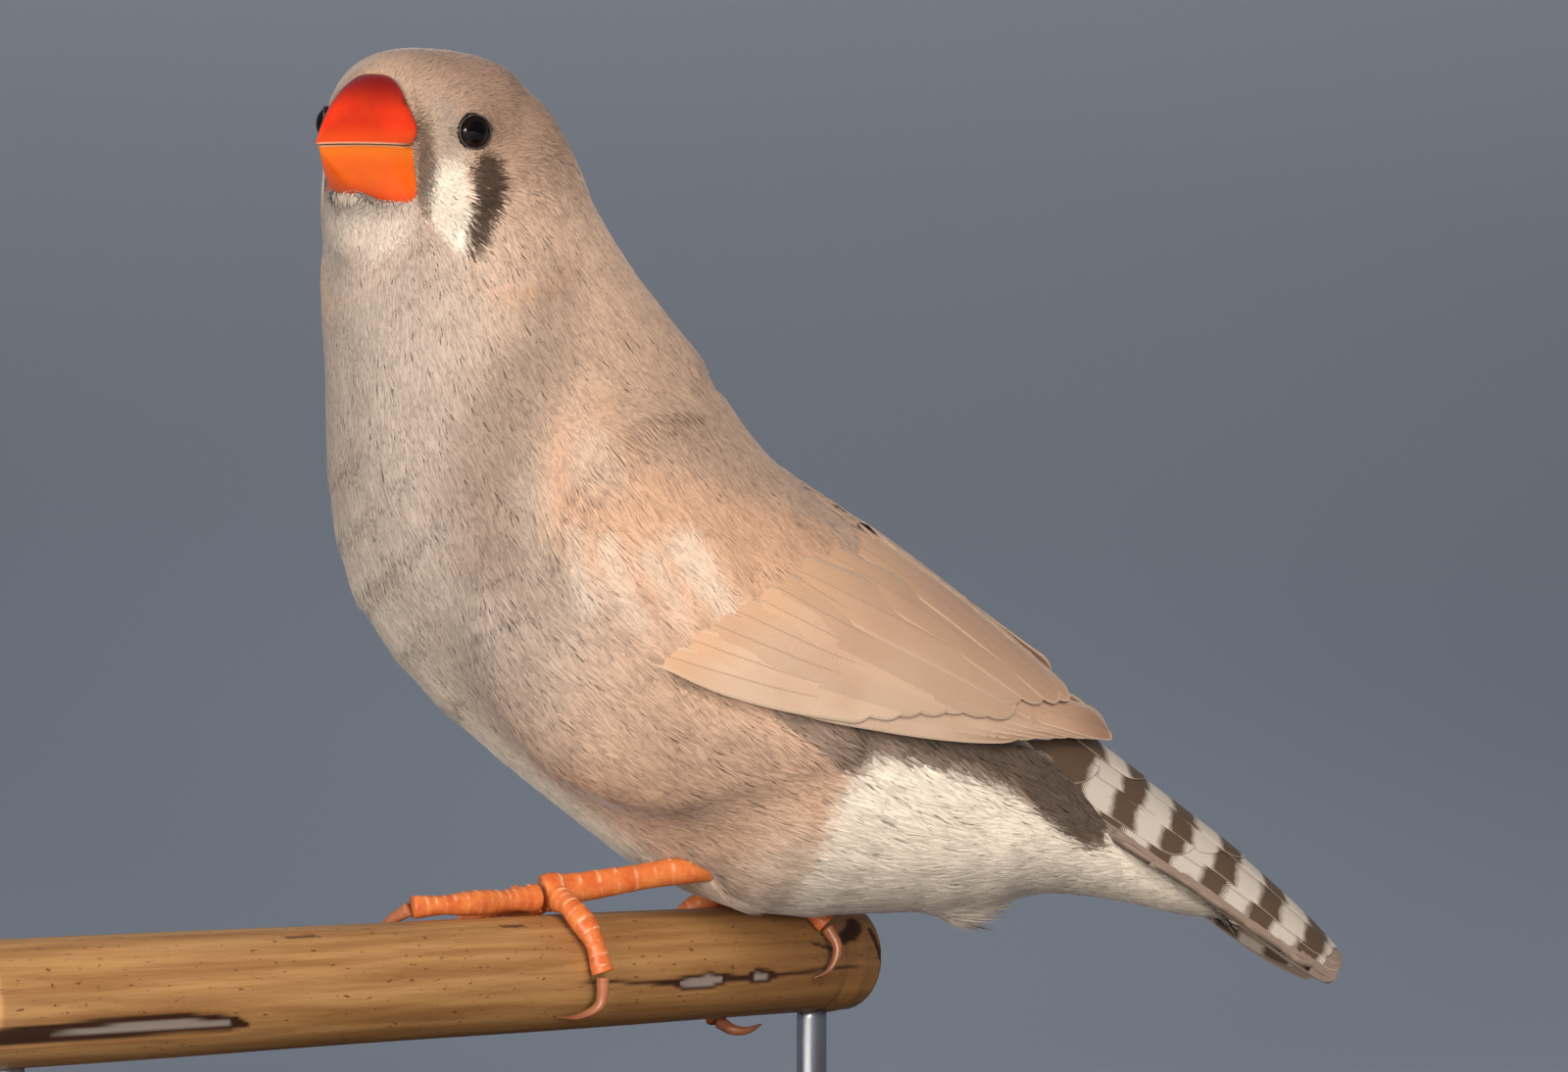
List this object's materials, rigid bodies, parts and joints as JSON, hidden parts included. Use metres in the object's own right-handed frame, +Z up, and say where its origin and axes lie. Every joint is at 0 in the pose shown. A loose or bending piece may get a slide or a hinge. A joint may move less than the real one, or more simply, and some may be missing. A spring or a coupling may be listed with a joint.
{
  "type": "zebra finch model on a perch",
  "caption": "Life-size zebra finch hen in pale fawn plumage, gripping a short cut length of cane perch held over a flat base by short rods.",
  "frame": {"origin": "centre of the underside of the stand's base", "axes": "+Z up; +X along the base's long side, towards the bird's tail; the bird faces -X and its left side is towards -Y"},
  "size_m": [0.124, 0.076, 0.0942],
  "materials": {
    "base_wood": "satin, dark stained",
    "rod_steel": "brushed",
    "cane": "satin, fine lengthwise grain",
    "body_plumage": "soft body feathers, fawn",
    "vent_plumage": "soft body feathers, cream white",
    "neck_plumage": "soft body feathers, light warm grey",
    "head_plumage": "short soft feathers, fawn grey",
    "eye_surface": "glossy black",
    "bill_upper_horn": "waxy orange red",
    "bill_lower_horn": "waxy orange",
    "wing_feathers": "smooth vanes, peach fawn with pale edges",
    "tail_feathers": "smooth vanes, dark brown and white bars",
    "leg_scales": "scaly orange",
    "claw_horn": "translucent brown orange"
  },
  "bodies": {
    "root": {"stand_base": "base_wood", "stand_rod_front": "rod_steel", "stand_rod_rear": "rod_steel", "perch": "cane", "torso": "body_plumage", "rump": "vent_plumage", "neck": "neck_plumage", "head": "head_plumage", "eye_left": "eye_surface", "eye_right": "eye_surface", "bill_upper": "bill_upper_horn", "bill_lower": "bill_lower_horn", "wing_left": "wing_feathers", "wing_right": "wing_feathers", "tail": "tail_feathers", "shank_left": "leg_scales", "toe_hind_left": "leg_scales", "claw_hind_left": "claw_horn", "toe_inner_left": "leg_scales", "claw_inner_left": "claw_horn", "toe_middle_left": "leg_scales", "claw_middle_left": "claw_horn", "toe_outer_left": "leg_scales", "claw_outer_left": "claw_horn", "shank_right": "leg_scales", "toe_hind_right": "leg_scales", "claw_hind_right": "claw_horn", "toe_inner_right": "leg_scales", "claw_inner_right": "claw_horn", "toe_middle_right": "leg_scales", "claw_middle_right": "claw_horn", "toe_outer_right": "leg_scales", "claw_outer_right": "claw_horn"}
  },
  "joints": []
}
